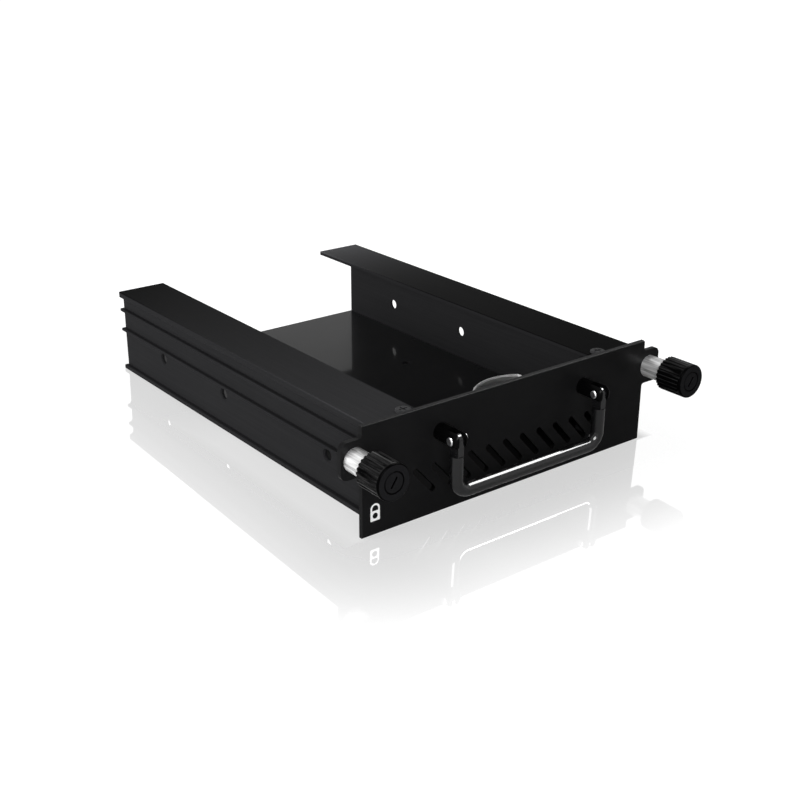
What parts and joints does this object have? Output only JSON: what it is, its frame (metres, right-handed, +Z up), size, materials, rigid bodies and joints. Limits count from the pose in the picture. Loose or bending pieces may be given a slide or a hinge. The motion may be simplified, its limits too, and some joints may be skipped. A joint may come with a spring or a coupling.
{
  "type": "drive carrier",
  "caption": "Open black metal tray that carries a disk drive into a bay, with a slotted front plate, bail handle and lockable captive thumbscrews.",
  "frame": {"origin": "middle of the space that the carrier takes up, at the level of the front plate's lower edge", "axes": "+X to the right seen from the front, +Y to the rear along the rails, +Z up"},
  "size_m": [0.1308, 0.1736, 0.0351],
  "materials": {
    "plate_black": "semi-gloss black",
    "rail_black": "black anodised, satin gloss",
    "floor_black": "gloss black",
    "ring_grey": "grey anodised, bare rim",
    "rivet_black": "black",
    "steel_black": "black",
    "screw_black": "black oxide",
    "screw_steel": "zinc plated",
    "handle_black": "gloss black",
    "pin_steel": "polished",
    "sleeve_chrome": "polished",
    "knob_black": "gloss black",
    "lock_black": "black",
    "spring_steel": "plain"
  },
  "bodies": {
    "carrier": {"front_panel": "plate_black", "left_rail": "rail_black", "right_rail": "rail_black", "floor_sheet": "floor_black", "floor_rivets": "rivet_black", "left_rest_ring": "ring_grey", "right_rest_ring": "ring_grey", "left_bracket": "steel_black", "right_bracket": "steel_black", "flange_screws": "screw_black", "floor_screws": "screw_black", "post_screws": "screw_steel", "left_handle_post": "handle_black", "right_handle_post": "handle_black", "left_handle_pin": "pin_steel", "right_handle_pin": "pin_steel", "left_sleeve": "sleeve_chrome", "left_spring": "spring_steel", "right_sleeve": "sleeve_chrome", "right_spring": "spring_steel"},
    "bail": {"bail": "handle_black"},
    "left_plunger": {"left_slip_washer": "spring_steel"},
    "left_thumbscrew": {"left_knob": "knob_black", "left_captive_screw": "screw_steel", "left_screw_clip": "spring_steel"},
    "left_lock": {"left_lock_barrel": "lock_black"},
    "right_plunger": {"right_slip_washer": "spring_steel"},
    "right_thumbscrew": {"right_knob": "knob_black", "right_captive_screw": "screw_steel", "right_screw_clip": "spring_steel"},
    "right_lock": {"right_lock_barrel": "lock_black"}
  },
  "joints": [
    {"name": "bail_swing", "type": "hinge", "parent": "carrier", "child": "bail", "pos_m": [0, -0.07615, 0.0262], "axis": [-1, 0, 0], "range_deg": [-15, 195]},
    {"name": "left_push", "type": "slide", "parent": "carrier", "child": "left_plunger", "axis": [0, 1, 0], "range_m": [0, 0.004], "stiffness_N_per_m": 300, "springref_m": -0.003, "deforming": ["left_spring"]},
    {"name": "left_turn", "type": "hinge", "parent": "left_plunger", "child": "left_thumbscrew", "pos_m": [-0.0599, -0.06865, 0.02585], "axis": [0, 1, 0], "continuous": true},
    {"name": "left_key", "type": "hinge", "parent": "left_thumbscrew", "child": "left_lock", "pos_m": [-0.0599, -0.06865, 0.02585], "axis": [0, 1, 0], "range_deg": [0, 90]},
    {"name": "right_push", "type": "slide", "parent": "carrier", "child": "right_plunger", "axis": [0, 1, 0], "range_m": [0, 0.004], "stiffness_N_per_m": 300, "springref_m": -0.003, "deforming": ["right_spring"]},
    {"name": "right_turn", "type": "hinge", "parent": "right_plunger", "child": "right_thumbscrew", "pos_m": [0.0599, -0.06865, 0.02585], "axis": [0, 1, 0], "continuous": true},
    {"name": "right_key", "type": "hinge", "parent": "right_thumbscrew", "child": "right_lock", "pos_m": [0.0599, -0.06865, 0.02585], "axis": [0, 1, 0], "range_deg": [0, 90]}
  ]
}
